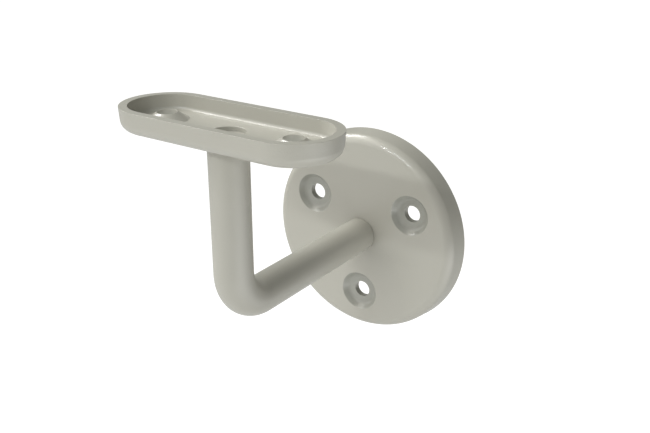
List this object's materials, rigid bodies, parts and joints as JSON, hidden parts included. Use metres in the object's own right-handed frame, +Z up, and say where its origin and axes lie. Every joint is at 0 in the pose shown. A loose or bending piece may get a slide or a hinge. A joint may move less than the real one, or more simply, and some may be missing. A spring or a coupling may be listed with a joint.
{
  "type": "handrail bracket",
  "caption": "Wall bracket for a flat-bottomed handrail: round dished wall plate, bar bent through a right angle, round-ended dished tray under the rail.",
  "frame": {"origin": "centre of the wall plate on the wall, where the bar's lower run meets the wall plane", "axes": "+Z up, +X along the rail, -Y out from the wall; the wall is the plane Y = 0"},
  "size_m": [0.0812, 0.1, 0.1056],
  "materials": {
    "coated_plate": "warm grey powder coat, satin",
    "coated_bar": "warm grey powder coat, satin",
    "coated_tray": "warm grey powder coat, satin"
  },
  "bodies": {
    "root": {"wall_plate": "coated_plate", "arm_bar": "coated_bar", "rail_tray": "coated_tray"}
  },
  "joints": []
}
